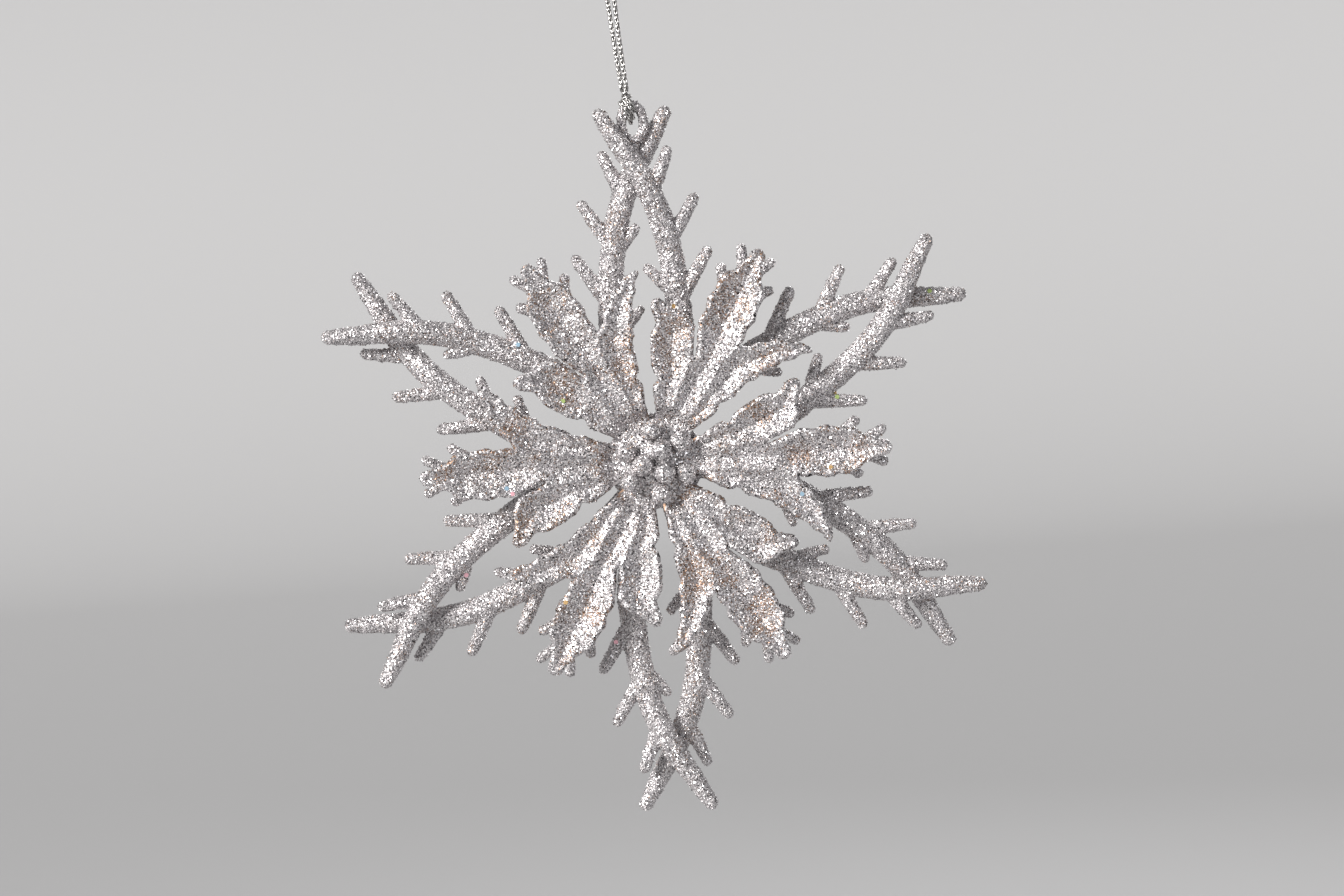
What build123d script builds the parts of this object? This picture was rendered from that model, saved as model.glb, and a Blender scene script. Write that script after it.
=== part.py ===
from build123d import *
import os
from math import atan, cos, pi, radians, sin, tan

# A six-armed snowflake ornament on a hanging cord, in millimetres. +Z is up and the front
# faces -Y. The origin is where a hook sits, inside the top of the cord's loop.
#
# A place on the star is given by a spoke, which is a direction from the star's centre: how
# far along it, how far across it (positive is clockwise, seen from the front), and its
# depth, which is y. One arm's pieces are made, then turned round the star to the others.

# Driving dimensions
STAR_DROP = 139.0            # from the hook down to the star's centre
ARMS = 6
ARM_STEP = 360.0 / ARMS
TOP_SPOKE = 90.0             # direction of the first arm, from +X towards +Z
LEAF_SPOKE = TOP_SPOKE - ARM_STEP / 2

# Hub
HUB_RADIUS = 9.5
HUB_HALF_DEPTH = 2.4
TWIG_SPREAD = 17.0           # angle from an arm to the root of each of its two twigs
TENON_RADIUS = 1.2
TENON_LENGTH = 3.2
SOCKET_CLEARANCE = 0.05
SOCKET_END_GAP = 0.2

# Long twigs: centre line as (along, across, share of the crossing's depth), and radii at
# even steps along it
TWIG_ROOT = HUB_RADIUS + 0.1
TWIG_LINE = (
    (16.0, 4.9, 0.0),
    (24.6, 6.9, 0.0),
    (33.0, 6.5, 0.0),
    (40.0, 5.9, 0.0),
    (47.3, 4.5, 0.35),
    (53.0, 2.5, 0.95),
    (58.0, 0.1, 1.0),
    (64.0, -3.6, 1.0),
    (68.8, -6.4, 1.0),
)
TWIG_RADII = (1.95, 2.3, 2.4, 2.45, 2.45, 2.4, 2.35, 2.3, 2.2, 2.1, 1.95, 1.65, 1.3)
CROSSING_DEPTH = 2.1
HORN_WAY = (5.2, -3.0)
HORN_TIP_RADIUS = 1.34

# Thorns on a long twig: (base along, base across, tip along, tip across)
OUTER_THORNS = ((31.4, 6.4, 40.8, 13.0), (42.9, 5.2, 51.5, 11.1), (52.9, 2.6, 61.0, 6.3))
INNER_THORN_HIGH = (42.4, 4.8, 46.2, 0.6)
INNER_THORN_LOW = (33.6, 5.8, 38.2, 0.9)
INNER_THORN_ROOT = (25.6, 6.0, 30.0, 0.9)
THORN_BASE_RADIUS = 1.75
THORN_TIP_RADIUS = 1.05
INNER_THORN_BASE_RADIUS = 1.5
INNER_THORN_TIP_RADIUS = 0.95
ARMS_WITH_HIGH_THORN_BEHIND = (0, 1, 2)

# Short twigs, each behind the centre lobe of a leaf: places as (along, across, depth)
SHORT_TWIG_ROOT = (14.5, 0.0, -1.75)
SHORT_TWIG_TIP = (42.6, 0.0, -1.1)
SHORT_TWIG_ROOT_RADIUS = 0.9
SHORT_TWIG_TIP_RADIUS = 1.0
SHORT_THORNS = ((32.6, 40.1, 5.2), (39.2, 45.3, 3.2))
SHORT_THORN_DEPTH = -1.2
SHORT_THORN_RADIUS = 0.95

# Leaves: edges of the lobes as (along, across), across measured towards the leaf
LEAF_ROOT_RADIUS = 6.0
LEAF_ROOT_HALF_ANGLE = 28.0
CENTRE_LOBE_EDGE = ((27.6, 4.4), (30.0, 4.9), (33.5, 5.0), (37.5, 4.8), (39.8, 4.0),
                    (41.5, 2.8), (44.0, 1.9), (45.8, 1.3), (46.7, 0.0))
LONG_SIDE_SLIT_EDGE = ((10.0, 1.2), (13.5, 1.5), (16.8, 2.4), (20.0, 2.5), (23.5, 2.9),
                       (27.5, 2.8), (31.5, 2.4), (35.0, 1.8), (37.8, 1.0))
LONG_SIDE_INNER_EDGE = ((37.8, 1.0), (37.4, 2.8), (35.6, 5.0), (33.0, 7.2), (29.8, 8.6),
                        (26.9, 9.6))
SHORT_SIDE_SLIT_EDGE = ((10.0, 0.6), (14.0, 0.5), (16.5, 1.2), (19.0, 0.4), (24.0, 0.4),
                        (27.6, 1.4), (30.6, 1.0), (32.2, 1.5))
SHORT_SIDE_INNER_EDGE = ((32.2, 1.5), (31.8, 3.4), (29.8, 6.2), (28.2, 8.4), (26.6, 9.5))
LEAF_FLAT_END = 9.6
LEAF_PEAK = 31.0
LEAF_END = 47.6
LEAF_BACK_DEPTHS = (-2.5, -4.6, -4.5)
LEAF_THICKNESS = 1.8

# Bead boss and beads; heights are measured forward of the star's middle plane
BOSS_RADIUS = 5.8
BOSS_CAP_RADIUS = 8.4
BOSS_CAP_THICKNESS = 1.0
BOSS_STEP_RADIUS = 4.2
BOSS_STEP_HEIGHT = 0.9
CAP_CLEARANCE = 0.1
BOSS_CAP_BACK = LEAF_THICKNESS - LEAF_BACK_DEPTHS[0] + CAP_CLEARANCE
OUTER_BEAD_SEAT = BOSS_CAP_BACK + BOSS_CAP_THICKNESS
INNER_BEAD_SEAT = OUTER_BEAD_SEAT + BOSS_STEP_HEIGHT
OUTER_BEADS = 6
OUTER_BEAD_RADIUS = 2.0
OUTER_BEAD_CIRCLE = 6.3
OUTER_BEAD_SPOKE = 96.0
INNER_BEADS = 3
INNER_BEAD_RADIUS = 2.1
INNER_BEAD_CIRCLE = 2.7
INNER_BEAD_SPOKE = 66.0
BEAD_SINK = 0.5              # how much of a bead its flat foot takes off

# Hanging ring, an oval in the V of the top arm; half sizes are of its middle line
RING_ACROSS = 0.01
RING_ALONG = 67.17
RING_HALF_WIDTH = 2.2
RING_HALF_HEIGHT = 3.55
RING_TUBE_RADIUS = 0.95
RING_FOOT_END = 60.3         # along the arm, where the ring's foot ends between the twigs
RING_FOOT_TIP_RADIUS = 0.85

# Cord: one cord, doubled and hitched to the ring
CORD_DIAMETER = 0.9
HITCH_ANGLE = 18.0           # the rim's lean where the hitch holds it, anticlockwise
WRAP_RADIUS = 1.45
WRAP_ARC = 260.0
HITCH_KNOT_RADIUS = 1.0
HITCH_KNOT_RISE = 2.35       # from the middle of the ring's rim to the knot's centre
END_KNOT_RADIUS = 1.45
END_KNOT_HEIGHT = 4.6
TAIL_ENDS = ((-2.3, 8.4), (1.7, 8.9))

# Each strand's route, in x and z, from the hitch knot up to the end knot
STRAND_LEFT_ROUTE = ((-1.62, -65.05), (-3.58, -45.2), (-4.75, -25.6), (-4.60, -13.2),
                     (-3.85, -5.6), (-3.30, -0.9), (-2.35, 2.0), (-0.95, 3.75))
STRAND_RIGHT_ROUTE = ((-0.70, -65.05), (-2.46, -45.2), (-1.30, -25.6), (0.95, -13.2),
                      (2.75, -5.6), (3.25, -0.9), (2.30, 2.0), (0.95, 3.75))
ARC_SHARE = 0.45             # of the shorter run, taken by each corner's arc


def spot(spoke, along, across, depth):
    """A point on the star, from its place along and across a spoke."""
    turn = radians(spoke)
    x = along * cos(turn) + across * sin(turn)
    z = along * sin(turn) - across * cos(turn)
    return Vector(x, depth, z - STAR_DROP)


def spoke_way(spoke, along, across):
    """The unit direction that goes so far along and so far across a spoke."""
    return (spot(spoke, along, across, 0.0) - spot(spoke, 0.0, 0.0, 0.0)).normalized()


RING_CENTRE = spot(TOP_SPOKE, RING_ALONG, RING_ACROSS, 0.0)
HITCH_WAY = spoke_way(TOP_SPOKE + HITCH_ANGLE, 1.0, 0.0)
RIM_TANGENT = spoke_way(TOP_SPOKE + HITCH_ANGLE, 0.0, 1.0)
RIM_TURN = atan(RING_HALF_WIDTH / RING_HALF_HEIGHT * tan(radians(HITCH_ANGLE)))
RIM_MIDDLE = spot(TOP_SPOKE, RING_ALONG + RING_HALF_HEIGHT * cos(RIM_TURN),
                  RING_ACROSS - RING_HALF_WIDTH * sin(RIM_TURN), 0.0)
HITCH_KNOT_CENTRE = RIM_MIDDLE + HITCH_WAY * HITCH_KNOT_RISE


def add_thorn(base, tip, base_radius, tip_radius):
    """Adds a tapered spike with a round tip to the part being built."""
    axis = tip - base
    shoulder = axis.length - tip_radius
    half = tip_radius * cos(radians(45.0))
    side = Plane(origin=base, x_dir=axis, z_dir=axis.cross(Vector(0, 1, 0)))
    with BuildSketch(side) as profile:
        with BuildLine():
            Polyline((axis.length, 0), (0, 0), (0, base_radius), (shoulder, tip_radius))
            ThreePointArc((shoulder, tip_radius), (shoulder + half, half), (axis.length, 0))
        make_face()
    revolve(profile.sketch, axis=Axis(base, axis))


def trunk_share(along):
    """Roughly how far along a trunk's length a place on its arm is, from 0 to 1."""
    return (along - TWIG_ROOT) / (TWIG_LINE[-1][0] - TWIG_ROOT)


def make_long_twig(front, inner_thorns):
    """The top arm's thorned twig, rooted on one side of the arm and crossing to the other."""
    side = 1.0 if front else -1.0
    crossing = -CROSSING_DEPTH if front else CROSSING_DEPTH
    root_spoke = TOP_SPOKE - side * TWIG_SPREAD
    root = spot(root_spoke, TWIG_ROOT, 0.0, 0.0)
    outwards = spoke_way(root_spoke, 1.0, 0.0)
    horn = spoke_way(TOP_SPOKE, HORN_WAY[0], side * HORN_WAY[1])
    line = [spot(TOP_SPOKE, a, side * c, share * crossing) for a, c, share in TWIG_LINE]
    outer = [(*thorn, THORN_BASE_RADIUS, THORN_TIP_RADIUS) for thorn in OUTER_THORNS]
    inner = [(*thorn, INNER_THORN_BASE_RADIUS, INNER_THORN_TIP_RADIUS)
             for thorn in inner_thorns]
    with BuildLine() as trunk:
        Spline(root, *line, tangents=(outwards, horn))
    with BuildPart() as twig:
        for station, radius in enumerate(TWIG_RADII):
            share = station / (len(TWIG_RADII) - 1)
            with BuildSketch(Plane(origin=trunk.line @ share, x_dir=(0, 1, 0),
                                   z_dir=trunk.line % share)):
                Circle(radius)
        loft(ruled=True)
        with Locations(line[-1]):
            Sphere(HORN_TIP_RADIUS)
        with BuildSketch(Plane(origin=root, z_dir=-outwards)):
            Circle(TENON_RADIUS)
        extrude(amount=TENON_LENGTH)
        for base_along, base_across, tip_along, tip_across, *ends in (*outer, *inner):
            depth = (trunk.line @ trunk_share(base_along)).Y
            base = spot(TOP_SPOKE, base_along, side * base_across, depth)
            tip = spot(TOP_SPOKE, tip_along, side * tip_across, depth)
            add_thorn(base, tip, *ends)
    return twig


def make_short_twig():
    """The thin straight twig behind the first leaf, with two pairs of thorns near its end."""
    with BuildPart() as twig:
        root = spot(LEAF_SPOKE, *SHORT_TWIG_ROOT)
        tip = spot(LEAF_SPOKE, *SHORT_TWIG_TIP)
        add_thorn(root, tip, SHORT_TWIG_ROOT_RADIUS, SHORT_TWIG_TIP_RADIUS)
        for base_along, tip_along, tip_across in SHORT_THORNS:
            for side in (-1.0, 1.0):
                base = spot(LEAF_SPOKE, base_along, 0.0, SHORT_THORN_DEPTH)
                end = spot(LEAF_SPOKE, tip_along, side * tip_across, SHORT_THORN_DEPTH)
                add_thorn(base, end, SHORT_THORN_RADIUS, SHORT_THORN_RADIUS)
    return twig


def face_plane(height):
    """A plane across the star, so far forward of its middle, seen from the front."""
    return Plane(origin=(0, -height, -STAR_DROP), x_dir=(1, 0, 0), z_dir=(0, -1, 0))


def on_face(spoke, along, across):
    """A place on the star as a point of a face plane."""
    point = spot(spoke, along, across, 0.0)
    return (point.X, point.Z + STAR_DROP)


def make_leaf():
    """The first three-lobed leaf, arched forward, with its root under the bead boss."""
    clockwise_arm = LEAF_SPOKE - ARM_STEP / 2
    other_arm = LEAF_SPOKE + ARM_STEP / 2
    centre_right = [on_face(LEAF_SPOKE, a, c) for a, c in CENTRE_LOBE_EDGE]
    centre_left = [on_face(LEAF_SPOKE, a, -c) for a, c in reversed(CENTRE_LOBE_EDGE)]
    long_slit = [on_face(clockwise_arm, a, -c) for a, c in LONG_SIDE_SLIT_EDGE]
    long_inner = [on_face(clockwise_arm, a, -c) for a, c in LONG_SIDE_INNER_EDGE]
    short_slit = [on_face(other_arm, a, c) for a, c in reversed(SHORT_SIDE_SLIT_EDGE)]
    short_inner = [on_face(other_arm, a, c) for a, c in reversed(SHORT_SIDE_INNER_EDGE)]
    root_right = on_face(LEAF_SPOKE - LEAF_ROOT_HALF_ANGLE, LEAF_ROOT_RADIUS, 0.0)
    root_left = on_face(LEAF_SPOKE + LEAF_ROOT_HALF_ANGLE, LEAF_ROOT_RADIUS, 0.0)
    root_back, peak_back, end_back = LEAF_BACK_DEPTHS
    root_front, peak_front, end_front = [y - LEAF_THICKNESS for y in LEAF_BACK_DEPTHS]
    with BuildPart() as blade:
        with BuildSketch(face_plane(0.0)):
            with BuildLine():
                Line(root_right, long_slit[0])
                Spline(*long_slit)
                Spline(*long_inner)
                Line(long_inner[-1], centre_right[0])
                Spline(*centre_right)
                Spline(*centre_left)
                Line(centre_left[-1], short_inner[0])
                Spline(*short_inner)
                Spline(*short_slit)
                Line(short_slit[-1], root_left)
                ThreePointArc(root_left, on_face(LEAF_SPOKE, LEAF_ROOT_RADIUS, 0.0), root_right)
            make_face()
        extrude(amount=LEAF_THICKNESS - 2.0 * peak_back)
        with BuildSketch(Plane.XY.offset(-STAR_DROP)):
            with BuildLine():
                Polyline((LEAF_FLAT_END, root_back), (0, root_back), (0, root_front),
                         (LEAF_FLAT_END, root_front))
                ThreePointArc((LEAF_FLAT_END, root_front), (LEAF_PEAK, peak_front),
                              (LEAF_END, end_front))
                Line((LEAF_END, end_front), (LEAF_END, end_back))
                ThreePointArc((LEAF_END, end_back), (LEAF_PEAK, peak_back),
                              (LEAF_FLAT_END, root_back))
            make_face()
        revolve(axis=Axis((0, 0, -STAR_DROP), (0, 1, 0)), mode=Mode.INTERSECT)
    return blade


def make_hub():
    """The disc that holds everything, with a socket round its rim for each long twig."""
    with BuildPart() as hub:
        with BuildSketch(face_plane(-HUB_HALF_DEPTH)):
            Circle(HUB_RADIUS)
        extrude(amount=2.0 * HUB_HALF_DEPTH)
        for arm in range(ARMS):
            for side in (-1.0, 1.0):
                spoke = TOP_SPOKE - arm * ARM_STEP - side * TWIG_SPREAD
                mouth = spot(spoke, TWIG_ROOT, 0.0, 0.0)
                with BuildSketch(Plane(origin=mouth, z_dir=-spoke_way(spoke, 1.0, 0.0))):
                    Circle(TENON_RADIUS + SOCKET_CLEARANCE)
                extrude(amount=TENON_LENGTH + SOCKET_END_GAP, mode=Mode.SUBTRACT)
    return hub


def make_boss():
    """The stepped cap that clamps the leaves' roots and carries the beads."""
    with BuildPart() as boss:
        with BuildSketch(face_plane(HUB_HALF_DEPTH)):
            Circle(BOSS_RADIUS)
        extrude(amount=BOSS_CAP_BACK - HUB_HALF_DEPTH)
        with BuildSketch(face_plane(BOSS_CAP_BACK)):
            Circle(BOSS_CAP_RADIUS)
        extrude(amount=BOSS_CAP_THICKNESS)
        with BuildSketch(face_plane(OUTER_BEAD_SEAT)):
            Circle(BOSS_STEP_RADIUS)
        extrude(amount=BOSS_STEP_HEIGHT)
    return boss


def make_beads(count, first_spoke, circle, radius, seat):
    """A ring of beads, each a ball with a flat foot on the boss."""
    with BuildPart() as beads:
        for bead in range(count):
            spoke = first_spoke + bead * 360.0 / count
            with Locations(spot(spoke, circle, 0.0, -(seat + radius - BEAD_SINK))):
                Sphere(radius)
        split(bisect_by=face_plane(seat), keep=Keep.TOP)
    return beads


def make_ring(horns):
    """The oval hanging ring, with a foot notched to fit between the top arm's two twigs."""
    facing = Plane(origin=RING_CENTRE, x_dir=(1, 0, 0), z_dir=(0, -1, 0))
    with BuildPart() as ring:
        with BuildLine(facing) as oval:
            EllipticalCenterArc((0, 0), RING_HALF_WIDTH, RING_HALF_HEIGHT, arc_size=180)
            EllipticalCenterArc((0, 0), RING_HALF_WIDTH, RING_HALF_HEIGHT, 180, arc_size=180)
        with BuildSketch(Plane(origin=oval.line @ 0, z_dir=oval.line % 0)):
            Circle(RING_TUBE_RADIUS)
        sweep(path=oval.line)
        bottom = spot(TOP_SPOKE, RING_ALONG - RING_HALF_HEIGHT, RING_ACROSS, 0.0)
        foot_end = spot(TOP_SPOKE, RING_FOOT_END, 0.0, 0.0)
        add_thorn(bottom, foot_end, RING_TUBE_RADIUS, RING_FOOT_TIP_RADIUS)
        for horn in horns:
            add(horn.part, mode=Mode.SUBTRACT)
    return ring


def make_hitch_loop():
    """The turn of cord round the ring's rim, open towards its knot."""
    open_half = radians((360.0 - WRAP_ARC) / 2)
    start = HITCH_WAY * cos(open_half) - Vector(0, 1, 0) * sin(open_half)
    with BuildPart() as wrap:
        with BuildSketch(Plane(origin=RIM_MIDDLE + start * WRAP_RADIUS,
                               z_dir=RIM_TANGENT.cross(start))):
            Circle(CORD_DIAMETER / 2)
        revolve(axis=Axis(RIM_MIDDLE, RIM_TANGENT), revolution_arc=WRAP_ARC)
    return wrap


def make_hitch_knot():
    """The knot just above the ring."""
    with BuildPart() as knot:
        with Locations(HITCH_KNOT_CENTRE):
            Sphere(HITCH_KNOT_RADIUS)
    return knot


def make_end_knot():
    """The knot that closes the loop above the hook, with the cord's two cut ends."""
    centre = Vector(0, 0, END_KNOT_HEIGHT)
    with BuildPart() as knot:
        with Locations(centre):
            Sphere(END_KNOT_RADIUS)
        for x, z in TAIL_ENDS:
            add_thorn(centre, Vector(x, 0, z), CORD_DIAMETER / 2, CORD_DIAMETER / 2)
    return knot


def make_strand(name, route):
    """One strand of the cord: straight runs joined by arcs as large as they allow."""
    points = [Vector(x, 0, z) for x, z in route]
    runs = [b - a for a, b in zip(points, points[1:])]
    radii = []
    for before, after in zip(runs, runs[1:]):
        turn = radians(before.get_angle(after))
        radii.append(ARC_SHARE * min(before.length, after.length) / tan(turn / 2))
    with BuildPart() as strand:
        with BuildLine() as line:
            FilletPolyline(*points, radius=radii)
        with BuildSketch(Plane(origin=line.line @ 0, z_dir=line.line % 0)):
            Circle(CORD_DIAMETER / 2)
        sweep(path=line.line)
    length = sum(edge.length for edge in line.edges())
    expected = pi * CORD_DIAMETER ** 2 / 4 * length
    print(name, "radii", [round(r, 1) for r in radii], "length", round(length, 1))
    print(name, "volume", round(strand.part.volume, 2), "expected", round(expected, 2))
    return strand


def turned(builder, arms):
    """A copy of a piece, turned clockwise round the star by a number of arms."""
    return builder.part.rotate(Axis((0, 0, -STAR_DROP), (0, 1, 0)), arms * ARM_STEP)


def save(piece, name):
    """Labels a finished piece and writes it to its own file."""
    piece.label = name
    export_step(piece, f"parts/{name}.step")


os.makedirs("parts", exist_ok=True)

front_low = make_long_twig(True, (INNER_THORN_LOW,))
front_high = make_long_twig(True, (INNER_THORN_HIGH,))
rear_low = make_long_twig(False, (INNER_THORN_LOW, INNER_THORN_ROOT))
rear_high = make_long_twig(False, (INNER_THORN_HIGH, INNER_THORN_ROOT))
short_twig = make_short_twig()
leaf = make_leaf()
for arm_index in range(ARMS):
    high_behind = arm_index in ARMS_WITH_HIGH_THORN_BEHIND
    front_twig = front_low if high_behind else front_high
    rear_twig = rear_high if high_behind else rear_low
    save(turned(front_twig, arm_index), f"twig_front_{arm_index + 1}")
    save(turned(rear_twig, arm_index), f"twig_rear_{arm_index + 1}")
    save(turned(short_twig, arm_index), f"short_twig_{arm_index + 1}")
    save(turned(leaf, arm_index), f"leaf_{arm_index + 1}")

save(make_hub().part, "hub_plate")
save(make_boss().part, "bead_boss")
save(make_beads(OUTER_BEADS, OUTER_BEAD_SPOKE, OUTER_BEAD_CIRCLE, OUTER_BEAD_RADIUS,
                OUTER_BEAD_SEAT).part, "outer_beads")
save(make_beads(INNER_BEADS, INNER_BEAD_SPOKE, INNER_BEAD_CIRCLE, INNER_BEAD_RADIUS,
                INNER_BEAD_SEAT).part, "inner_beads")
save(make_ring((front_low, rear_high)).part, "hanging_ring")
save(make_hitch_loop().part, "hitch_loop")
save(make_hitch_knot().part, "hitch_knot")
save(make_end_knot().part, "end_knot")
save(make_strand("cord_strand_left", STRAND_LEFT_ROUTE).part, "cord_strand_left")
save(make_strand("cord_strand_right", STRAND_RIGHT_ROUTE).part, "cord_strand_right")
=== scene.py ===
import math

import bmesh
import bpy
import numpy as np
from mathutils import Matrix, Vector, noise
from mathutils.geometry import delaunay_2d_cdt


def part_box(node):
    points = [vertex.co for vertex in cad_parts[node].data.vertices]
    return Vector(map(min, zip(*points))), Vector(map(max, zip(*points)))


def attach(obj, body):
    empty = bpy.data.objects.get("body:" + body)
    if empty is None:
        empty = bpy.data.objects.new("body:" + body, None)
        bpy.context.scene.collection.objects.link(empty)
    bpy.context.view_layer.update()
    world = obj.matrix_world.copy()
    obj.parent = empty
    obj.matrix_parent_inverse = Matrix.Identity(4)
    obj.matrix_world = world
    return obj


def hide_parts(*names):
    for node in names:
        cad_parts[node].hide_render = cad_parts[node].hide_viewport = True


# A glittered snowflake ornament on a doubled metallic cord. Shapes are worked out in
# millimetres about the star's centre, then moved to the frame, which is in metres.
# A place on the star is (spoke, along, across, depth), as in the CAD: a direction from the
# centre in degrees, how far along it, how far across it clockwise, and y.

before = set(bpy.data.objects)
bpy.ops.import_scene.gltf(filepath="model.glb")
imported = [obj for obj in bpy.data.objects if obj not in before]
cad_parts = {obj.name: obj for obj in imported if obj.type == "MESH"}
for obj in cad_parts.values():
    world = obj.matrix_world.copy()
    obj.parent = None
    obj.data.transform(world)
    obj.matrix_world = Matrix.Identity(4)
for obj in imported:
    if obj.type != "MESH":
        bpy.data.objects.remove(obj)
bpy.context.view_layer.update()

MM = 0.001
ARMS = 6
ARM_STEP = 60.0
TOP_SPOKE = 90.0
LEAF_SPOKE = 60.0
ARMS_WITH_HIGH_THORN_BEHIND = (0, 1, 2)


def middle(node):
    """The middle of a CAD node's box."""
    low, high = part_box(node)
    return (Vector(low) + Vector(high)) / 2


STAR = middle("hub_plate")
TO_FRAME = Matrix.Translation(STAR) @ Matrix.Scale(MM, 4)


def new_material(name):
    """A new material, its node tree and its shader."""
    material = bpy.data.materials.new(name)
    material.use_nodes = True
    return material, material.node_tree, material.node_tree.nodes["Principled BSDF"]


def plain(name, colour, roughness, metallic=1.0):
    """A material that is the same all over, as one flake is: a metal unless told."""
    material, _, shader = new_material(name)
    shader.inputs["Base Color"].default_value = (*colour, 1)
    shader.inputs["Roughness"].default_value = roughness
    shader.inputs["Metallic"].default_value = metallic
    return material


# ---------------------------------------------------------------- camera, light and floor

CAMERA_AZIMUTH = -1.5
CAMERA_ELEVATION = 3.0
CAMERA_ROLL = 3.9            # clockwise, so that the star looks turned the other way
LENS = 85.0
VIEW_WIDTH = 0.2677          # at the star
AIM_RIGHT = 0.0033           # of the star's centre
AIM_UP = 0.0025
FLOOR_DROP = 0.26            # below the star's centre
FLOOR_REACH = 30.0
BACKDROP_START = 2.6         # behind the star
BACKDROP_BEND = 1.0
BACKDROP_HEIGHT = 4.0
FLOOR_COLOUR = (0.42, 0.42, 0.425)
FLOOR_ROUGHNESS = 0.9
SKY_COLOUR = (0.80, 0.80, 0.82, 1)
FAINT_LIGHT = 0.24           # that the sky gives
SEEN_SKY = 0.62              # how bright it looks
# Lamps: (kind, metres from the star, power, colour)
KEY_LAMP = ("SUN", (-0.70, -0.66, 0.46), 4.9, (1.0, 0.985, 0.965))
FILL_LAMP = ("AREA", (0.75, -0.75, 0.1), 1.0, (0.95, 0.96, 1.0))
BACK_LAMP = ("AREA", (0.3, 0.8, 0.4), 2.0, (1.0, 1.0, 1.0))
KEY_ANGLE = 24.0
LAMP_SIZE = 0.5


def make_camera():
    """The camera, at the photograph's angle, as far off as its view's width asks."""
    data = bpy.data.cameras.new("camera")
    data.lens = LENS
    camera = bpy.data.objects.new("camera", data)
    bpy.context.collection.objects.link(camera)
    azimuth, elevation = math.radians(CAMERA_AZIMUTH), math.radians(CAMERA_ELEVATION)
    back = Vector((math.sin(azimuth) * math.cos(elevation),
                   -math.cos(azimuth) * math.cos(elevation), math.sin(elevation)))
    turn = (-back).to_track_quat("-Z", "Y") @ Matrix.Rotation(
        math.radians(-CAMERA_ROLL), 3, "Z").to_quaternion()
    right, up = turn @ Vector((1, 0, 0)), turn @ Vector((0, 1, 0))
    distance = VIEW_WIDTH * LENS / data.sensor_width
    camera.rotation_mode = "QUATERNION"
    camera.rotation_quaternion = turn
    camera.location = STAR + right * AIM_RIGHT + up * AIM_UP + back * distance
    data.clip_start, data.clip_end = 0.01, 200.0
    bpy.context.scene.camera = camera


def make_lamp(name, kind, place, power, colour):
    """A lamp that faces the star from a place given in metres from it: the lamp's data."""
    data = bpy.data.lights.new(name, kind)
    data.energy = power
    data.color = colour
    lamp = bpy.data.objects.new(name, data)
    lamp.location = STAR + Vector(place)
    lamp.rotation_mode = "QUATERNION"
    lamp.rotation_quaternion = (-Vector(place)).to_track_quat("-Z", "Y")
    bpy.context.collection.objects.link(lamp)
    return data


def pale_world():
    """Faint light from all round, with a sky as pale as the floor past the floor's edge."""
    world = bpy.data.worlds.new("pale_world")
    world.use_nodes = True
    tree = world.node_tree
    faint = tree.nodes["Background"]
    sky = tree.nodes.new("ShaderNodeBackground")
    for background, strength in ((faint, FAINT_LIGHT), (sky, SEEN_SKY)):
        background.inputs["Color"].default_value = SKY_COLOUR
        background.inputs["Strength"].default_value = strength
    rays = tree.nodes.new("ShaderNodeLightPath")
    seen = tree.nodes.new("ShaderNodeMixShader")
    tree.links.new(rays.outputs["Is Camera Ray"], seen.inputs[0])
    tree.links.new(faint.outputs[0], seen.inputs[1])
    tree.links.new(sky.outputs[0], seen.inputs[2])
    tree.links.new(seen.outputs[0], tree.nodes["World Output"].inputs["Surface"])
    return world


def make_studio():
    """A plain pale floor that curves up behind, with a soft key light from the upper left."""
    bend = np.linspace(0, math.pi / 2, 17)
    profile = [(-FLOOR_REACH, 0.0)]
    profile += [(BACKDROP_START + BACKDROP_BEND * math.sin(b),
                 BACKDROP_BEND * (1 - math.cos(b))) for b in bend]
    profile.append((BACKDROP_START + BACKDROP_BEND, BACKDROP_HEIGHT))
    verts = [(x, y, z) for y, z in profile for x in (-FLOOR_REACH, FLOOR_REACH)]
    faces = [(2 * i, 2 * i + 1, 2 * i + 3, 2 * i + 2) for i in range(len(profile) - 1)]
    mesh = bpy.data.meshes.new("floor")
    mesh.from_pydata(verts, [], faces)
    mesh.shade_smooth()
    floor = bpy.data.objects.new("floor", mesh)
    floor.location = (STAR.x, STAR.y, STAR.z - FLOOR_DROP)
    bpy.context.collection.objects.link(floor)
    mesh.materials.append(plain("pale_floor", FLOOR_COLOUR, FLOOR_ROUGHNESS, 0.0))
    bpy.context.scene.world = pale_world()
    bpy.context.scene.view_settings.view_transform = "Standard"
    make_lamp("key", *KEY_LAMP).angle = math.radians(KEY_ANGLE)
    make_lamp("fill", *FILL_LAMP).size = LAMP_SIZE
    make_lamp("back", *BACK_LAMP).size = LAMP_SIZE


make_camera()
make_studio()


# ---------------------------------------------------------------- materials

# A coat's shades: (share of the cells that are darker, colour). The near-black first shade is a
# painted dark reflection, standing in for flakes that mirror dark surroundings; the other
# shades differ at random.
SHADES = ((0.0, (0.03, 0.027, 0.028)), (0.08, (0.19, 0.178, 0.181)),
          (0.30, (0.38, 0.359, 0.364)), (0.60, (0.60, 0.573, 0.578)),
          (0.86, (0.95, 0.92, 0.92)))
CELL_SCALE = 4200.0
PATCH_SCALE = 110.0
PATCH_BAND = (0.52, 0.72)    # of the noise: where thin coat starts, and is thinnest
BRONZE = (0.27, 0.20, 0.165, 1)
COAT_ROUGHNESS = (0.30, 0.52)
CELL_TILT = 0.25             # each way, of a cell's normal
FILAMENT_SCALE = 3800.0
# Filaments: (noise level, colour)
FILAMENT_SHADES = ((0.35, (0.20, 0.19, 0.185, 1)), (0.6, (0.74, 0.725, 0.71, 1)))
FILAMENT_HEIGHT = 0.00006


def node(tree, kind, **inputs):
    """A new node with some of its inputs set."""
    made = tree.nodes.new(kind)
    for name, value in inputs.items():
        made.inputs[name.replace("_", " ")].default_value = value
    return made


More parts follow.
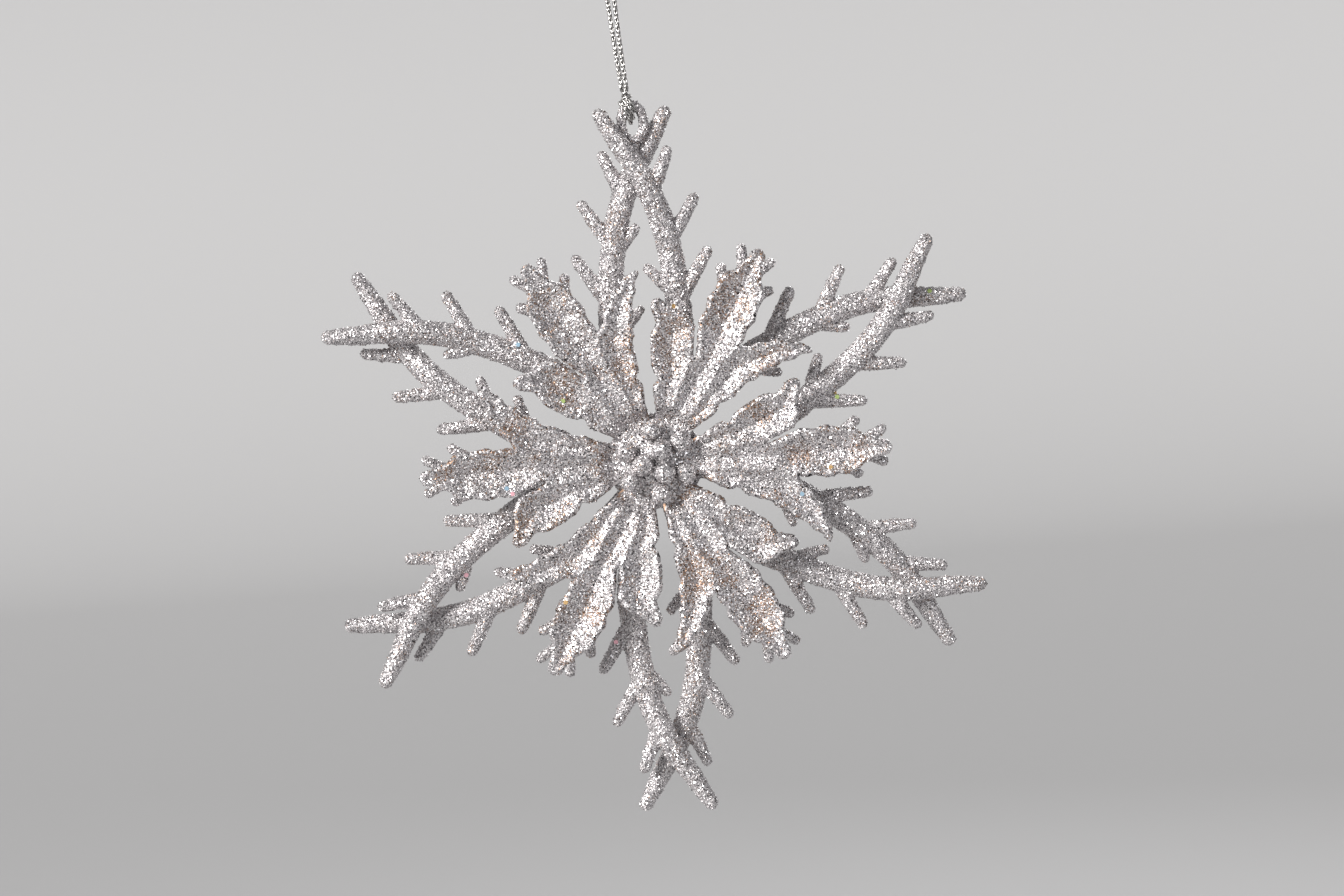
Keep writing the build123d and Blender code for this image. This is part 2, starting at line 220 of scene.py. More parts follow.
def glitter_coat(name, metallic, bronze):
    """A coat of fine flakes set every way: each cell has its own shade, gloss and facing."""
    material, tree, shader = new_material(name)
    place = tree.nodes.new("ShaderNodeTexCoord")
    cells = node(tree, "ShaderNodeTexVoronoi", Scale=CELL_SCALE)
    tree.links.new(place.outputs["Object"], cells.inputs["Vector"])
    parts = tree.nodes.new("ShaderNodeSeparateColor")
    tree.links.new(cells.outputs["Color"], parts.inputs[0])

    shades = tree.nodes.new("ShaderNodeValToRGB")
    shades.color_ramp.interpolation = "CONSTANT"
    ramp = shades.color_ramp.elements
    for stop, (position, colour) in zip(ramp, SHADES):
        stop.position, stop.color = position, (*colour, 1)
    for position, colour in SHADES[2:]:
        ramp.new(position).color = (*colour, 1)
    tree.links.new(parts.outputs[0], shades.inputs[0])

    # Bronze cells come in patches, where the coat is thin.
    cloud = node(tree, "ShaderNodeTexNoise", Scale=PATCH_SCALE, Detail=2.0)
    tree.links.new(place.outputs["Object"], cloud.inputs["Vector"])
    thin = node(tree, "ShaderNodeMapRange", From_Min=PATCH_BAND[0], From_Max=PATCH_BAND[1],
                To_Max=bronze)
    tree.links.new(cloud.outputs["Fac"], thin.inputs["Value"])
    chosen = tree.nodes.new("ShaderNodeMath")
    chosen.operation = "LESS_THAN"
    tree.links.new(parts.outputs[2], chosen.inputs[0])
    tree.links.new(thin.outputs[0], chosen.inputs[1])
    tint = tree.nodes.new("ShaderNodeMix")
    tint.data_type = "RGBA"
    tint.inputs["B"].default_value = BRONZE
    tree.links.new(chosen.outputs[0], tint.inputs["Factor"])
    tree.links.new(shades.outputs[0], tint.inputs["A"])
    tree.links.new(tint.outputs["Result"], shader.inputs["Base Color"])

    gloss = node(tree, "ShaderNodeMapRange", To_Min=COAT_ROUGHNESS[0],
                 To_Max=COAT_ROUGHNESS[1])
    tree.links.new(parts.outputs[1], gloss.inputs["Value"])
    tree.links.new(gloss.outputs[0], shader.inputs["Roughness"])

    facing = tree.nodes.new("ShaderNodeVectorMath")
    facing.operation = "MULTIPLY_ADD"
    facing.inputs[1].default_value = [2 * CELL_TILT] * 3
    facing.inputs[2].default_value = [-CELL_TILT] * 3
    tree.links.new(cells.outputs["Color"], facing.inputs[0])
    surface = tree.nodes.new("ShaderNodeNewGeometry")
    tilted = tree.nodes.new("ShaderNodeVectorMath")
    tree.links.new(surface.outputs["Normal"], tilted.inputs[0])
    tree.links.new(facing.outputs[0], tilted.inputs[1])
    unit = tree.nodes.new("ShaderNodeVectorMath")
    unit.operation = "NORMALIZE"
    tree.links.new(tilted.outputs[0], unit.inputs[0])
    tree.links.new(unit.outputs[0], shader.inputs["Normal"])
    shader.inputs["Metallic"].default_value = metallic
    return material


def cord_metal():
    """Metallic thread: bright, with fine filaments along each ply."""
    material, tree, shader = new_material("metallic_thread")
    place = tree.nodes.new("ShaderNodeTexCoord")
    fine = node(tree, "ShaderNodeTexNoise", Scale=FILAMENT_SCALE, Detail=2.0)
    tree.links.new(place.outputs["Object"], fine.inputs["Vector"])
    shade = tree.nodes.new("ShaderNodeValToRGB")
    for stop, (position, colour) in zip(shade.color_ramp.elements, FILAMENT_SHADES):
        stop.position, stop.color = position, colour
    tree.links.new(fine.outputs["Fac"], shade.inputs[0])
    tree.links.new(shade.outputs[0], shader.inputs["Base Color"])
    bump = node(tree, "ShaderNodeBump", Strength=0.5, Distance=FILAMENT_HEIGHT)
    tree.links.new(fine.outputs["Fac"], bump.inputs["Height"])
    tree.links.new(bump.outputs[0], shader.inputs["Normal"])
    shader.inputs["Metallic"].default_value = 0.9
    shader.inputs["Roughness"].default_value = 0.24
    return material


# Coats: (name, how metallic, how much bronze its thin patches let through)
COATS = {
    "twigs": glitter_coat("twig_glitter", 0.55, 0.15),
    "leaves": glitter_coat("leaf_glitter", 0.5, 0.6),
    "hub": glitter_coat("hub_glitter", 0.55, 0.2),
    "beads": glitter_coat("bead_glitter", 0.55, 0.2),
    "ring": glitter_coat("ring_glitter", 0.55, 0.15),
}
THREAD = cord_metal()
# The cord's near-black core is painted shade: it shows in the gaps between the plies, where
# shade falls.
THREAD_GAP_SHADE = plain("thread_gap_shade", (0.03, 0.028, 0.027), 0.6, 0.3)
# The flakes' metals, and the share of a piece's facets that each takes. The coat has the rest.
FLAKES = (
    (plain("flake_mirror", (0.98, 0.96, 0.96), 0.14), 0.13),
    (plain("flake_silver", (0.80, 0.765, 0.775), 0.30), 0.15),
    (plain("flake_white", (0.92, 0.89, 0.89), 0.5, 0.3), 0.10),
    (plain("flake_lilac", (0.40, 0.374, 0.395), 0.4, 0.7), 0.13),
    # The dark flakes' near-black colour is a painted reflection: it stands in for flakes that
    # mirror dark surroundings.
    (plain("flake_painted_dark_reflection", (0.04, 0.036, 0.038), 0.3), 0.085),
)
BRONZE_FLAKE = plain("flake_bronze", (0.33, 0.21, 0.145), 0.45, 0.7)
SPANGLES = (
    plain("spangle_lime", (0.75, 0.95, 0.35), 0.15, 0.6),
    plain("spangle_orange", (1.0, 0.66, 0.30), 0.15, 0.6),
    plain("spangle_pink", (1.0, 0.55, 0.62), 0.15, 0.6),
    plain("spangle_blue", (0.55, 0.80, 1.0), 0.15, 0.6),
)


# ---------------------------------------------------------------- shapes, in millimetres

def spot(spoke, along, across, depth=0.0):
    """A point of the star, in millimetres from its centre."""
    turn = math.radians(spoke)
    return np.array([along * math.cos(turn) + across * math.sin(turn), depth,
                     along * math.sin(turn) - across * math.cos(turn)])


def curve_through(points, per_span):
    """Points along a smooth curve through the given ones (a Catmull-Rom curve)."""
    p = np.array(points, float)
    p = np.vstack([2 * p[0] - p[1], p, 2 * p[-1] - p[-2]])
    out = []
    for i in range(1, len(p) - 2):
        for t in np.linspace(0, 1, per_span, endpoint=False):
            out.append(0.5 * (2 * p[i] + (p[i + 1] - p[i - 1]) * t
                              + (2 * p[i - 1] - 5 * p[i] + 4 * p[i + 1] - p[i + 2]) * t ** 2
                              + (3 * p[i] - p[i - 1] - 3 * p[i + 1] + p[i + 2]) * t ** 3))
    out.append(p[-2])
    return np.array(out)


def frames_along(points):
    """Tangents and two crosswise directions at each point, carried on without twist."""
    tangents = np.gradient(points, axis=0)
    tangents /= np.linalg.norm(tangents, axis=1)[:, None]
    start = np.array([0.0, 1.0, 0.0]) if abs(tangents[0][1]) < 0.9 else np.array([1.0, 0, 0])
    ups = []
    up = start
    for t in tangents:
        up = up - t * up.dot(t)
        up = up / np.linalg.norm(up)
        ups.append(up)
    ups = np.array(ups)
    return tangents, ups, np.cross(tangents, ups)


def tube(points, radii, sides=16, caps=4):
    """A closed round-ended tube along points: vertices and faces."""
    points, radii = np.asarray(points, float), np.asarray(radii, float)
    tangents, ups, sideways = frames_along(points)
    bend = np.linspace(0, math.pi / 2, caps + 1)[1:-1]
    stations = [(points[0] - tangents[0] * radii[0] * math.sin(b), radii[0] * math.cos(b), 0)
                for b in bend[::-1]]
    stations += [(p, r, i) for i, (p, r) in enumerate(zip(points, radii))]
    last = len(points) - 1
    stations += [(points[-1] + tangents[-1] * radii[-1] * math.sin(b),
                  radii[-1] * math.cos(b), last) for b in bend]
    angles = np.linspace(0, 2 * math.pi, sides, endpoint=False)
    verts = [c + r * (math.cos(a) * ups[i] + math.sin(a) * sideways[i])
             for c, r, i in stations for a in angles]
    faces = []
    for ring in range(len(stations) - 1):
        for s in range(sides):
            a, b = ring * sides + s, ring * sides + (s + 1) % sides
            faces.append((a, b, b + sides, a + sides))
    tail, head = len(verts), len(verts) + 1
    verts += [points[0] - tangents[0] * radii[0], points[-1] + tangents[-1] * radii[-1]]
    end = (len(stations) - 1) * sides
    faces += [(tail, (s + 1) % sides, s) for s in range(sides)]
    faces += [(head, end + s, end + (s + 1) % sides) for s in range(sides)]
    return np.array(verts), faces


def joined(shapes):
    """Several (vertices, faces) as one."""
    verts, faces, start = [], [], 0
    for v, f in shapes:
        verts.append(v)
        faces += [tuple(i + start for i in face) for face in f]
        start += len(v)
    return np.vstack(verts), faces


def to_mesh(name, verts, faces):
    """A mesh of some vertices and faces."""
    mesh = bpy.data.meshes.new(name)
    mesh.from_pydata([tuple(v) for v in verts], [], faces)
    mesh.update()
    return mesh


def melted(name, shape, voxel, smoothing):
    """Closed overlapping shapes as one skin with soft inner corners."""
    rough = bpy.data.objects.new(name, to_mesh(name, *shape))
    bpy.context.collection.objects.link(rough)
    remesh = rough.modifiers.new("remesh", "REMESH")
    remesh.mode = "VOXEL"
    remesh.voxel_size = voxel
    smooth = rough.modifiers.new("smooth", "SMOOTH")
    smooth.factor = 0.5
    smooth.iterations = smoothing
    depsgraph = bpy.context.evaluated_depsgraph_get()
    mesh = bpy.data.meshes.new_from_object(rough.evaluated_get(depsgraph))
    bpy.data.objects.remove(rough)
    return mesh


def roughened(mesh, amount, scale, seed):
    """Moves a mesh's points in and out a little, as a thick coat of glitter does."""
    offset = Vector((seed * 37.0, seed * 11.0, seed * 5.0))
    normals = [v.normal.copy() for v in mesh.vertices]
    for v, n in zip(mesh.vertices, normals):
        v.co += n * amount * noise.noise(v.co / scale + offset)
    mesh.update()
    return mesh


def triangles(mesh):
    """The mesh with every face cut into triangles."""
    cut = bmesh.new()
    cut.from_mesh(mesh)
    bmesh.ops.triangulate(cut, faces=cut.faces)
    cut.to_mesh(mesh)
    cut.free()
    return mesh


def patches(points, size, seed):
    """Smooth random patches over points, from about -1 to 1."""
    waves = np.random.default_rng(seed)
    total = np.zeros(len(points))
    for _ in range(6):
        way = waves.normal(size=3)
        way *= 2 * math.pi / (size * np.linalg.norm(way) * waves.uniform(0.7, 1.6))
        total += np.sin(points @ way + waves.uniform(0, 2 * math.pi))
    return total / 3.0


FACET_TILT = 0.034           # how far a coat's points lie off its surface, as a deviation
FACET_SHIFT = 0.035          # and along it
PROUD_SHARE = 0.045          # of the points belong to flakes that stand up
PROUD_HEIGHT = (0.10, 0.26)
WIDE_PATCH = 9.0             # across a thin patch of the coat
SMALL_PATCH = 2.5
SMALL_PATCH_SHARE = 0.4
LEAST_THIN = 0.06            # so that a few bronze flakes lie outside the patches


def glittered(mesh, coat, bronze, seed):
    """Makes a millimetre mesh's faces flakes: each tilted, and many in a metal of its own.

    bronze is how much of it thin patches of the coat let through.
    """
    draw = np.random.default_rng(seed)
    count = len(mesh.vertices)
    places, normals = np.empty(count * 3), np.empty(count * 3)
    mesh.vertices.foreach_get("co", places)
    mesh.vertices.foreach_get("normal", normals)
    places, normals = places.reshape(-1, 3), normals.reshape(-1, 3)
    proud = (draw.random(count) < PROUD_SHARE) * draw.uniform(*PROUD_HEIGHT, count)
    out = draw.normal(0, FACET_TILT, count) + proud
    places = places + normals * out[:, None] + draw.normal(0, FACET_SHIFT, (count, 3))
    mesh.vertices.foreach_set("co", places.ravel())
    corners = np.empty(len(mesh.loops), int)
    mesh.loops.foreach_get("vertex_index", corners)
    centres = places[corners.reshape(-1, 3)].mean(axis=1)
    faces = len(centres)
    shares = [share for _, share in FLAKES]
    slots = draw.choice(len(FLAKES) + 1, faces, p=[1 - sum(shares), *shares])
    thin = patches(centres, WIDE_PATCH, seed)
    thin += SMALL_PATCH_SHARE * patches(centres, SMALL_PATCH, seed + 1)
    slots[draw.random(faces) < bronze * np.clip(thin, LEAST_THIN, 1)] = len(FLAKES) + 1
    mesh.materials.clear()
    for material in (coat, *[metal for metal, _ in FLAKES], BRONZE_FLAKE):
        mesh.materials.append(material)
    mesh.polygons.foreach_set("material_index", slots.astype(np.int32))
    mesh.polygons.foreach_set("use_smooth", np.zeros(faces, bool))
    mesh.update()
    return mesh


def place_piece(name, mesh, body, nodes):
    """Puts a millimetre mesh in the frame, in place of its CAD nodes."""
    mesh.name = name
    mesh.transform(TO_FRAME)
    piece = bpy.data.objects.new(name, mesh)
    bpy.context.collection.objects.link(piece)
    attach(piece, body)
    if nodes:
        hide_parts(*nodes)
    return piece


# ---------------------------------------------------------------- twigs

TWIG_LINE = (
    (9.2, 2.8, 0.0), (16.0, 4.9, 0.0), (24.6, 6.9, 0.0), (33.0, 6.5, 0.0),
    (40.0, 5.9, 0.0), (47.3, 4.5, 0.35), (53.0, 2.5, 0.95), (58.0, 0.1, 1.0),
    (64.0, -3.6, 1.0), (68.8, -6.4, 1.0),
)
TWIG_RADII = (2.0, 2.35, 2.5, 2.5, 2.45, 2.4, 2.35, 2.25, 1.85, 1.42)
CROSSING_DEPTH = 2.1
# Thorns: (base along, base across, tip along, tip across, base radius, tip radius)
OUTER_THORNS = ((31.4, 6.4, 40.8, 13.0, 1.75, 1.12), (42.9, 5.2, 51.5, 11.1, 1.75, 1.1),
                (52.9, 2.6, 61.0, 6.3, 1.7, 1.1))
INNER_THORN_HIGH = (42.4, 4.8, 46.2, 0.9, 1.5, 1.0)
INNER_THORN_LOW = (33.6, 5.8, 38.2, 1.1, 1.5, 1.0)
INNER_THORN_ROOT = (25.6, 6.0, 30.0, 1.1, 1.5, 0.95)
THORN_BOW = -0.35            # of a thorn's middle from straight, along the arm
FINE_VOXEL = 0.22            # of the twigs and the ring
TWIG_ROUGHNESS = (0.16, 1.1)  # how far in and out the coat goes, and over what distance


def long_twig(front, inner_thorns, seed):
    """The top arm's front or rear twig: a curved tapering trunk with thorns melted on."""
    side = 1.0 if front else -1.0
    crossing = -CROSSING_DEPTH if front else CROSSING_DEPTH
    trunk = curve_through([spot(TOP_SPOKE, a, side * c, share * crossing)
                           for a, c, share in TWIG_LINE], 6)
    radii = np.interp(np.arange(len(trunk)) / 6.0, np.arange(len(TWIG_RADII)), TWIG_RADII)
    shapes = [tube(trunk, radii, 20)]
    for a, c, tip_a, tip_c, base_radius, tip_radius in (*OUTER_THORNS, *inner_thorns):
        near = np.argmin(np.abs(trunk[:, 2] - a))
        depth = trunk[near][1]
        base = spot(TOP_SPOKE, a, side * c, depth)
        tip = spot(TOP_SPOKE, tip_a, side * tip_c, depth)
        steps = np.linspace(0, 1, 7)
        bow = np.array([0.0, 0.0, THORN_BOW])
        line = [base + (tip - base) * t + bow * math.sin(math.pi * t) for t in steps]
        shapes.append(tube(line, base_radius + (tip_radius - base_radius) * steps, 14))
    mesh = melted("twig", joined(shapes), FINE_VOXEL, 2)
    return roughened(mesh, *TWIG_ROUGHNESS, seed)


SHORT_TWIG_ROOT = (14.5, 0.0, -1.75)
SHORT_TWIG_TIP = (42.6, 0.0, -1.1)
SHORT_THORNS = ((32.6, 40.1, 5.2), (39.2, 45.3, 3.2))
SHORT_THORN_DEPTH = -1.2
SHORT_TWIG_RADIUS = 1.0
SHORT_TWIG_SWELL = 0.1
SHORT_THORN_RADIUS = 1.15
SHORT_THORN_TAPER = 0.1
SHORT_TWIG_VOXEL = 0.27
SHORT_TWIG_ROUGHNESS = (0.12, 0.9)


def short_twig():
    """The thin twig behind the first leaf, with two pairs of thorns near its end."""
    steps = np.linspace(0, 1, 9)
    root, tip = spot(LEAF_SPOKE, *SHORT_TWIG_ROOT), spot(LEAF_SPOKE, *SHORT_TWIG_TIP)
    shapes = [tube([root + (tip - root) * t for t in steps],
                   SHORT_TWIG_RADIUS + SHORT_TWIG_SWELL * steps, 14)]
    for base_along, along, across in SHORT_THORNS:
        for side in (-1, 1):
            base = spot(LEAF_SPOKE, base_along, 0.0, SHORT_THORN_DEPTH)
            end = spot(LEAF_SPOKE, along, side * across, SHORT_THORN_DEPTH)
            shapes.append(tube([base + (end - base) * t for t in steps],
                               SHORT_THORN_RADIUS - SHORT_THORN_TAPER * steps, 14))
    mesh = melted("short_twig", joined(shapes), SHORT_TWIG_VOXEL, 1)
    return roughened(mesh, *SHORT_TWIG_ROUGHNESS, 9)


# ---------------------------------------------------------------- leaves

LEAF_ROOT_RADIUS = 6.0
LEAF_ROOT_HALF_ANGLE = 28.0
CENTRE_LOBE_EDGE = ((27.8, 4.4), (29.0, 4.9), (31.3, 4.6), (33.5, 5.2), (36.0, 4.7),
                    (38.2, 4.8), (39.8, 4.1), (41.2, 2.8), (42.4, 2.6), (43.8, 1.8),
                    (45.2, 1.6), (46.2, 1.1), (46.7, 0.0))
# The crease where the short side's lobe parts from the centre lobe, in the leaf's own terms
CREASE = ((27.8, -4.4), (25.2, -3.5), (22.5, -2.4), (22.2, -2.7), (25.0, -3.95), (27.5, -5.0))
LONG_SIDE_SLIT_EDGE = ((10.0, 1.2), (13.0, 1.4), (15.4, 1.6), (16.9, 2.7), (18.5, 2.2),
                       (21.0, 2.5), (23.6, 3.1), (25.3, 2.6), (27.6, 3.0), (29.6, 2.4),
                       (31.6, 2.6), (33.6, 1.8), (35.4, 1.8), (37.0, 1.1), (37.8, 1.0))
LONG_SIDE_INNER_EDGE = ((37.8, 1.0), (37.6, 2.4), (36.3, 4.3), (34.9, 4.9), (33.3, 7.0),
                        (31.4, 7.4), (29.6, 8.6), (28.2, 8.6), (26.9, 9.6))
SHORT_SIDE_SLIT_EDGE = ((10.0, 0.6), (13.0, 0.4), (15.0, 0.4), (16.5, 1.4), (18.0, 0.6),
                        (20.6, 0.3), (23.0, 0.4), (25.2, 0.6), (27.3, 1.7), (28.8, 1.4),
                        (30.6, 0.9), (32.2, 1.5))
SHORT_SIDE_INNER_EDGE = ((32.2, 1.5), (32.2, 2.8), (31.0, 4.2), (29.8, 5.6), (29.0, 7.3),
                         (27.9, 8.4), (26.9, 9.1))
# The seam between the centre lobe and each side lobe, where their rims meet in a ridge, in the
# leaf's own terms
GROOVE = ((28.6, 5.0), (25.8, 3.7), (23.2, 2.7), (18.0, 2.7), (13.0, 2.2), (9.0, 1.4))
LEAF_MID_DEPTHS = ((0.0, -3.4), (9.6, -3.4), (16.0, -4.2), (24.0, -5.1), (31.0, -5.5),
                   (39.0, -5.6), (47.6, -5.4))
LEAF_HALF_THICKNESS = 0.95
EDGE_ROUND = 1.0
RIM_HEIGHT = 2.3             # of a lobe's raised edge over its valley
RIM_TOP = 0.7                # in from the edge, where the rim is highest
VALLEY = 4.6                 # in from the edge, where the valley's floor starts
RIM_START = (8.4, 12.0)      # from the star's centre, over which the rims grow
BACK_RIM = 0.75              # of the front's rim that the back follows
WRINKLE = 0.14
WRINKLE_SIZE = 1.3
CLOSEST = 0.12               # that two points of the outline come
EDGE_ROWS = ((0.14, 1), (0.34, 2))   # rows of points inside it: how far in, one in how many
GRID = 0.25
GRID_CLEARANCE = 0.5         # of the grid from the outline
GRID_SHIFT = 0.06


def flat(spoke, along, across):
    """A point of the star's face, as (x, z)."""
    p = spot(spoke, along, across)
    return (p[0], p[2])


def leaf_outline():
    """The first leaf's edge, as close points of (x, z), going round once."""
    right_arm, left_arm = LEAF_SPOKE - ARM_STEP / 2, LEAF_SPOKE + ARM_STEP / 2
    stretches = (
        [flat(right_arm, a, -c) for a, c in LONG_SIDE_SLIT_EDGE],
        [flat(right_arm, a, -c) for a, c in LONG_SIDE_INNER_EDGE],
        [flat(LEAF_SPOKE, a, c) for a, c in CENTRE_LOBE_EDGE],
        [flat(LEAF_SPOKE, a, -c) for a, c in reversed(CENTRE_LOBE_EDGE)],
        [flat(LEAF_SPOKE, a, c) for a, c in CREASE],
        [flat(left_arm, a, c) for a, c in reversed(SHORT_SIDE_INNER_EDGE)],
        [flat(left_arm, a, c) for a, c in reversed(SHORT_SIDE_SLIT_EDGE)],
        [flat(LEAF_SPOKE + angle, LEAF_ROOT_RADIUS, 0.0)
         for angle in np.linspace(LEAF_ROOT_HALF_ANGLE, -LEAF_ROOT_HALF_ANGLE, 7)],
    )
    out = []
    for stretch in stretches:
        for p in curve_through(stretch, 6):
            if not out or np.hypot(*(p - out[-1])) > CLOSEST:
                out.append(p)
    if np.hypot(*(out[0] - out[-1])) < CLOSEST:
        out.pop()
    return np.array(out)


def distances(points, line, closed):
    """How far each point is from a line of points; a closed one runs back to its start."""
    starts = line if closed else line[:-1]
    ends = np.roll(line, -1, axis=0) if closed else line[1:]
    best = np.full(len(points), 1e9)
    for start, step in zip(starts, ends - starts):
        share = np.clip((points - start) @ step / (step @ step + 1e-12), 0, 1)
        gap = np.hypot(*(points - start - share[:, None] * step).T)
        best = np.minimum(best, gap)
    return best


def inside(points, line):
    """Which points lie inside a closed line."""
    x, y = points.T
    result = np.zeros(len(points), bool)
    for (x0, y0), (x1, y1) in zip(line, np.roll(line, -1, axis=0)):
        crosses = (y0 > y) != (y1 > y)
        with np.errstate(divide="ignore", invalid="ignore"):
            result ^= crosses & (x < (x1 - x0) * (y - y0) / (y1 - y0) + x0)
    return result


def smooth_step(low, high, value):
    """From 0 at low to 1 at high, level at both."""
    t = np.clip((value - low) / (high - low), 0, 1)
    return t * t * (3 - 2 * t)


def rounded(distance, reach):
    """From 0 at an edge to 1 at reach, as a round edge rises."""
    return np.sqrt(np.clip(1 - (1 - np.clip(distance / reach, 0, 1)) ** 2, 0, 1))


def leaf_mesh(seed):
    """The first leaf: a plate with round edges, raised rims, valleys and two ridged seams."""
    edge = leaf_outline()
    low, high = edge.min(axis=0), edge.max(axis=0)
    heights = np.arange(low[1], high[1], GRID * 0.866)
    grid = np.array([(x + (GRID / 2 if i % 2 else 0), z) for i, z in enumerate(heights)
                     for x in np.arange(low[0], high[0], GRID)])
    away = distances(grid, edge, True)
    grid = grid[inside(grid, edge) & (away > GRID_CLEARANCE)]
    grid += np.random.default_rng(seed).uniform(-GRID_SHIFT, GRID_SHIFT, grid.shape)
    ahead, behind = np.roll(edge, -1, axis=0), np.roll(edge, 1, axis=0)
    along = ahead - behind
    inwards = np.stack([-along[:, 1], along[:, 0]], axis=1)
    inwards /= np.linalg.norm(inwards, axis=1)[:, None]
    rows = []
    for depth, step in EDGE_ROWS:
        row = edge[::step] + inwards[::step] * depth
        rows.append(row[inside(row, edge) & (distances(row, edge, True) > depth * 0.8)])
    points = np.vstack([edge, *rows, grid])
    count = len(edge)
    edges = [(i, (i + 1) % count) for i in range(count)]
    flat_verts, _, faces, *_ = delaunay_2d_cdt(
        [Vector(p) for p in points], edges, [tuple(range(count))], 1, 1e-6)
    p = np.array([tuple(v) for v in flat_verts])
    away = distances(p, edge, True)
    grooves = [np.array([flat(LEAF_SPOKE, a, side * c) for a, c in GROOVE]) for side in (1, -1)]
    groove = np.minimum(*[distances(p, g, False) for g in grooves])
    radius = np.hypot(*p.T)
    mid = np.interp(radius, *zip(*LEAF_MID_DEPTHS))
    from_rim = np.minimum(away, groove + RIM_TOP)
    rim = RIM_HEIGHT * (1 - np.clip((from_rim - RIM_TOP) / (VALLEY - RIM_TOP), 0, 1))
    rim *= smooth_step(*RIM_START, radius)
    body = rounded(away, EDGE_ROUND)
    wrinkle = np.array([noise.noise(Vector((x / WRINKLE_SIZE, z / WRINKLE_SIZE, seed * 7.0)))
                        for x, z in p])
    front = mid - body * (LEAF_HALF_THICKNESS + WRINKLE * wrinkle) - rim
    back = mid + body * LEAF_HALF_THICKNESS - BACK_RIM * rim
    on_edge = away < 1e-4
    verts = [(x, y, z) for (x, z), y in zip(p, front)]
    partner = {}
    for i, ((x, z), y) in enumerate(zip(p, back)):
        if on_edge[i]:
            partner[i] = i
        else:
            partner[i] = len(verts)
            verts.append((x, y, z))
    shell = []
    for face in faces:
        a, b, c = (flat_verts[i] for i in face)
        facing = (b.x - a.x) * (c.y - a.y) - (b.y - a.y) * (c.x - a.x)
        face = tuple(face) if facing > 0 else tuple(reversed(face))
        shell.append(face)
        shell.append(tuple(partner[i] for i in reversed(face)))
    return to_mesh("leaf", verts, shell)


# ---------------------------------------------------------------- hub, boss and beads

# Discs: (radius, back, front, how far the middle stands forward, radius of the edges)
HUB_DISC = (9.5, 2.4, -2.4, 0.0, 0.8)
BOSS_STEM = (5.8, -2.2, -4.9, 0.0, 0.3)
BOSS_CAP = (8.6, -3.6, -4.25, 2.5, 0.25)
MIDDLE_VOXEL = 0.34
BEAD_VOXEL = 0.3
MIDDLE_ROUGHNESS = (0.12, 1.0)
BEAD_SINK = 0.75
BEAD_SWELL = 0.12            # of a bead's radius, more or less
# Beads: (count, first spoke, circle, radius, seat)
OUTER_BEADS = (6, 96.0, 6.3, 2.0, 5.4)
INNER_BEADS = (3, 66.0, 2.7, 2.1, 6.3)


def turned_profile(profile, sides=96):
    """A closed solid of revolution about the star's axis from (radius, depth) points."""
    angles = np.linspace(0, 2 * math.pi, sides, endpoint=False)
    verts = [(r * math.cos(a), y, r * math.sin(a)) for r, y in profile[1:-1] for a in angles]
    faces = []
    rings = len(profile) - 2
    for ring in range(rings - 1):
        for s in range(sides):
            a, b = ring * sides + s, ring * sides + (s + 1) % sides
            faces.append((a, b, b + sides, a + sides))
    first, last = len(verts), len(verts) + 1
    verts += [(0.0, profile[0][1], 0.0), (0.0, profile[-1][1], 0.0)]
    end = (rings - 1) * sides
    faces += [(first, (s + 1) % sides, s) for s in range(sides)]
    faces += [(last, end + s, end + (s + 1) % sides) for s in range(sides)]
    return np.array(verts), faces


def dome_profile(radius, back, front, rise, edge):
    """A disc with rounded edges from depth back to front, domed forward at its middle."""
    bend = np.linspace(0, math.pi / 2, 5)
    points = [(0.0, back)]
    points += [(radius - edge + edge * math.sin(b), back - edge + edge * math.cos(b))
               for b in bend]
    points += [(radius - edge + edge * math.cos(b), front + edge - edge * math.sin(b))
               for b in bend]
    points += [(r, front - rise * math.cos(r / radius * math.pi / 2) ** 2)
               for r in np.linspace(radius - 2 * edge, 0.4, 14)]
    points.append((0.0, front - rise))
    return points


def lump(centre, radius, seed):
    """A ball with a slightly uneven skin."""
    ball = bmesh.new()
    bmesh.ops.create_icosphere(ball, subdivisions=4, radius=radius)
    verts = []
    for v in ball.verts:
        swell = 1 + BEAD_SWELL * noise.noise(v.co * 0.9 + Vector((seed * 9.0, 0, 0)))
        verts.append(np.array(centre) + np.array(v.co) * swell)
    faces = [tuple(v.index for v in f.verts) for f in ball.faces]
    ball.free()
    return np.array(verts), faces


def bead_ring(count, first, circle, radius, seat, seed):
    """A ring of beads, each a little into its seat."""
    shapes = [lump(spot(first + i * 360.0 / count, circle, 0.0, -(seat + radius - BEAD_SINK)),
                   radius, seed + i) for i in range(count)]
    return melted("beads", joined(shapes), BEAD_VOXEL, 2)


def discs_mesh(name, *discs):
    """A piece of the star's middle, melted together from discs about its axis."""
    shapes = [turned_profile(dome_profile(*disc)) for disc in discs]
    return melted(name, joined(shapes), MIDDLE_VOXEL, 3)


# ---------------------------------------------------------------- ring, hitch and cord

RING_ALONG = 67.17
RING_ACROSS = 0.01
RING_HALF_WIDTH = 2.2
RING_HALF_HEIGHT = 3.55
RING_TUBE_RADIUS = 0.95
RING_FOOT_END = 60.6
RING_FOOT_RADII = (0.95, 0.85)
HITCH_ANGLE = 18.0
WRAP_RADIUS = 1.45
NECK_HALF_GAP = 0.44
NECK_FOOT = 1.75             # above the rim's middle line
TURN_ENDS = (38, 322)        # of a turn round the rim, in degrees from above
BAR_ENDS = (-50, 230)        # of the loop that binds the turns in front, in degrees
BAR_RISE = (1.5, 0.15)       # above the rim's middle line, and how far its sides slant
BAR_HALF_WIDTH = 0.85
BAR_REACH = (0.1, 0.95)      # to the front, of its middle and from there
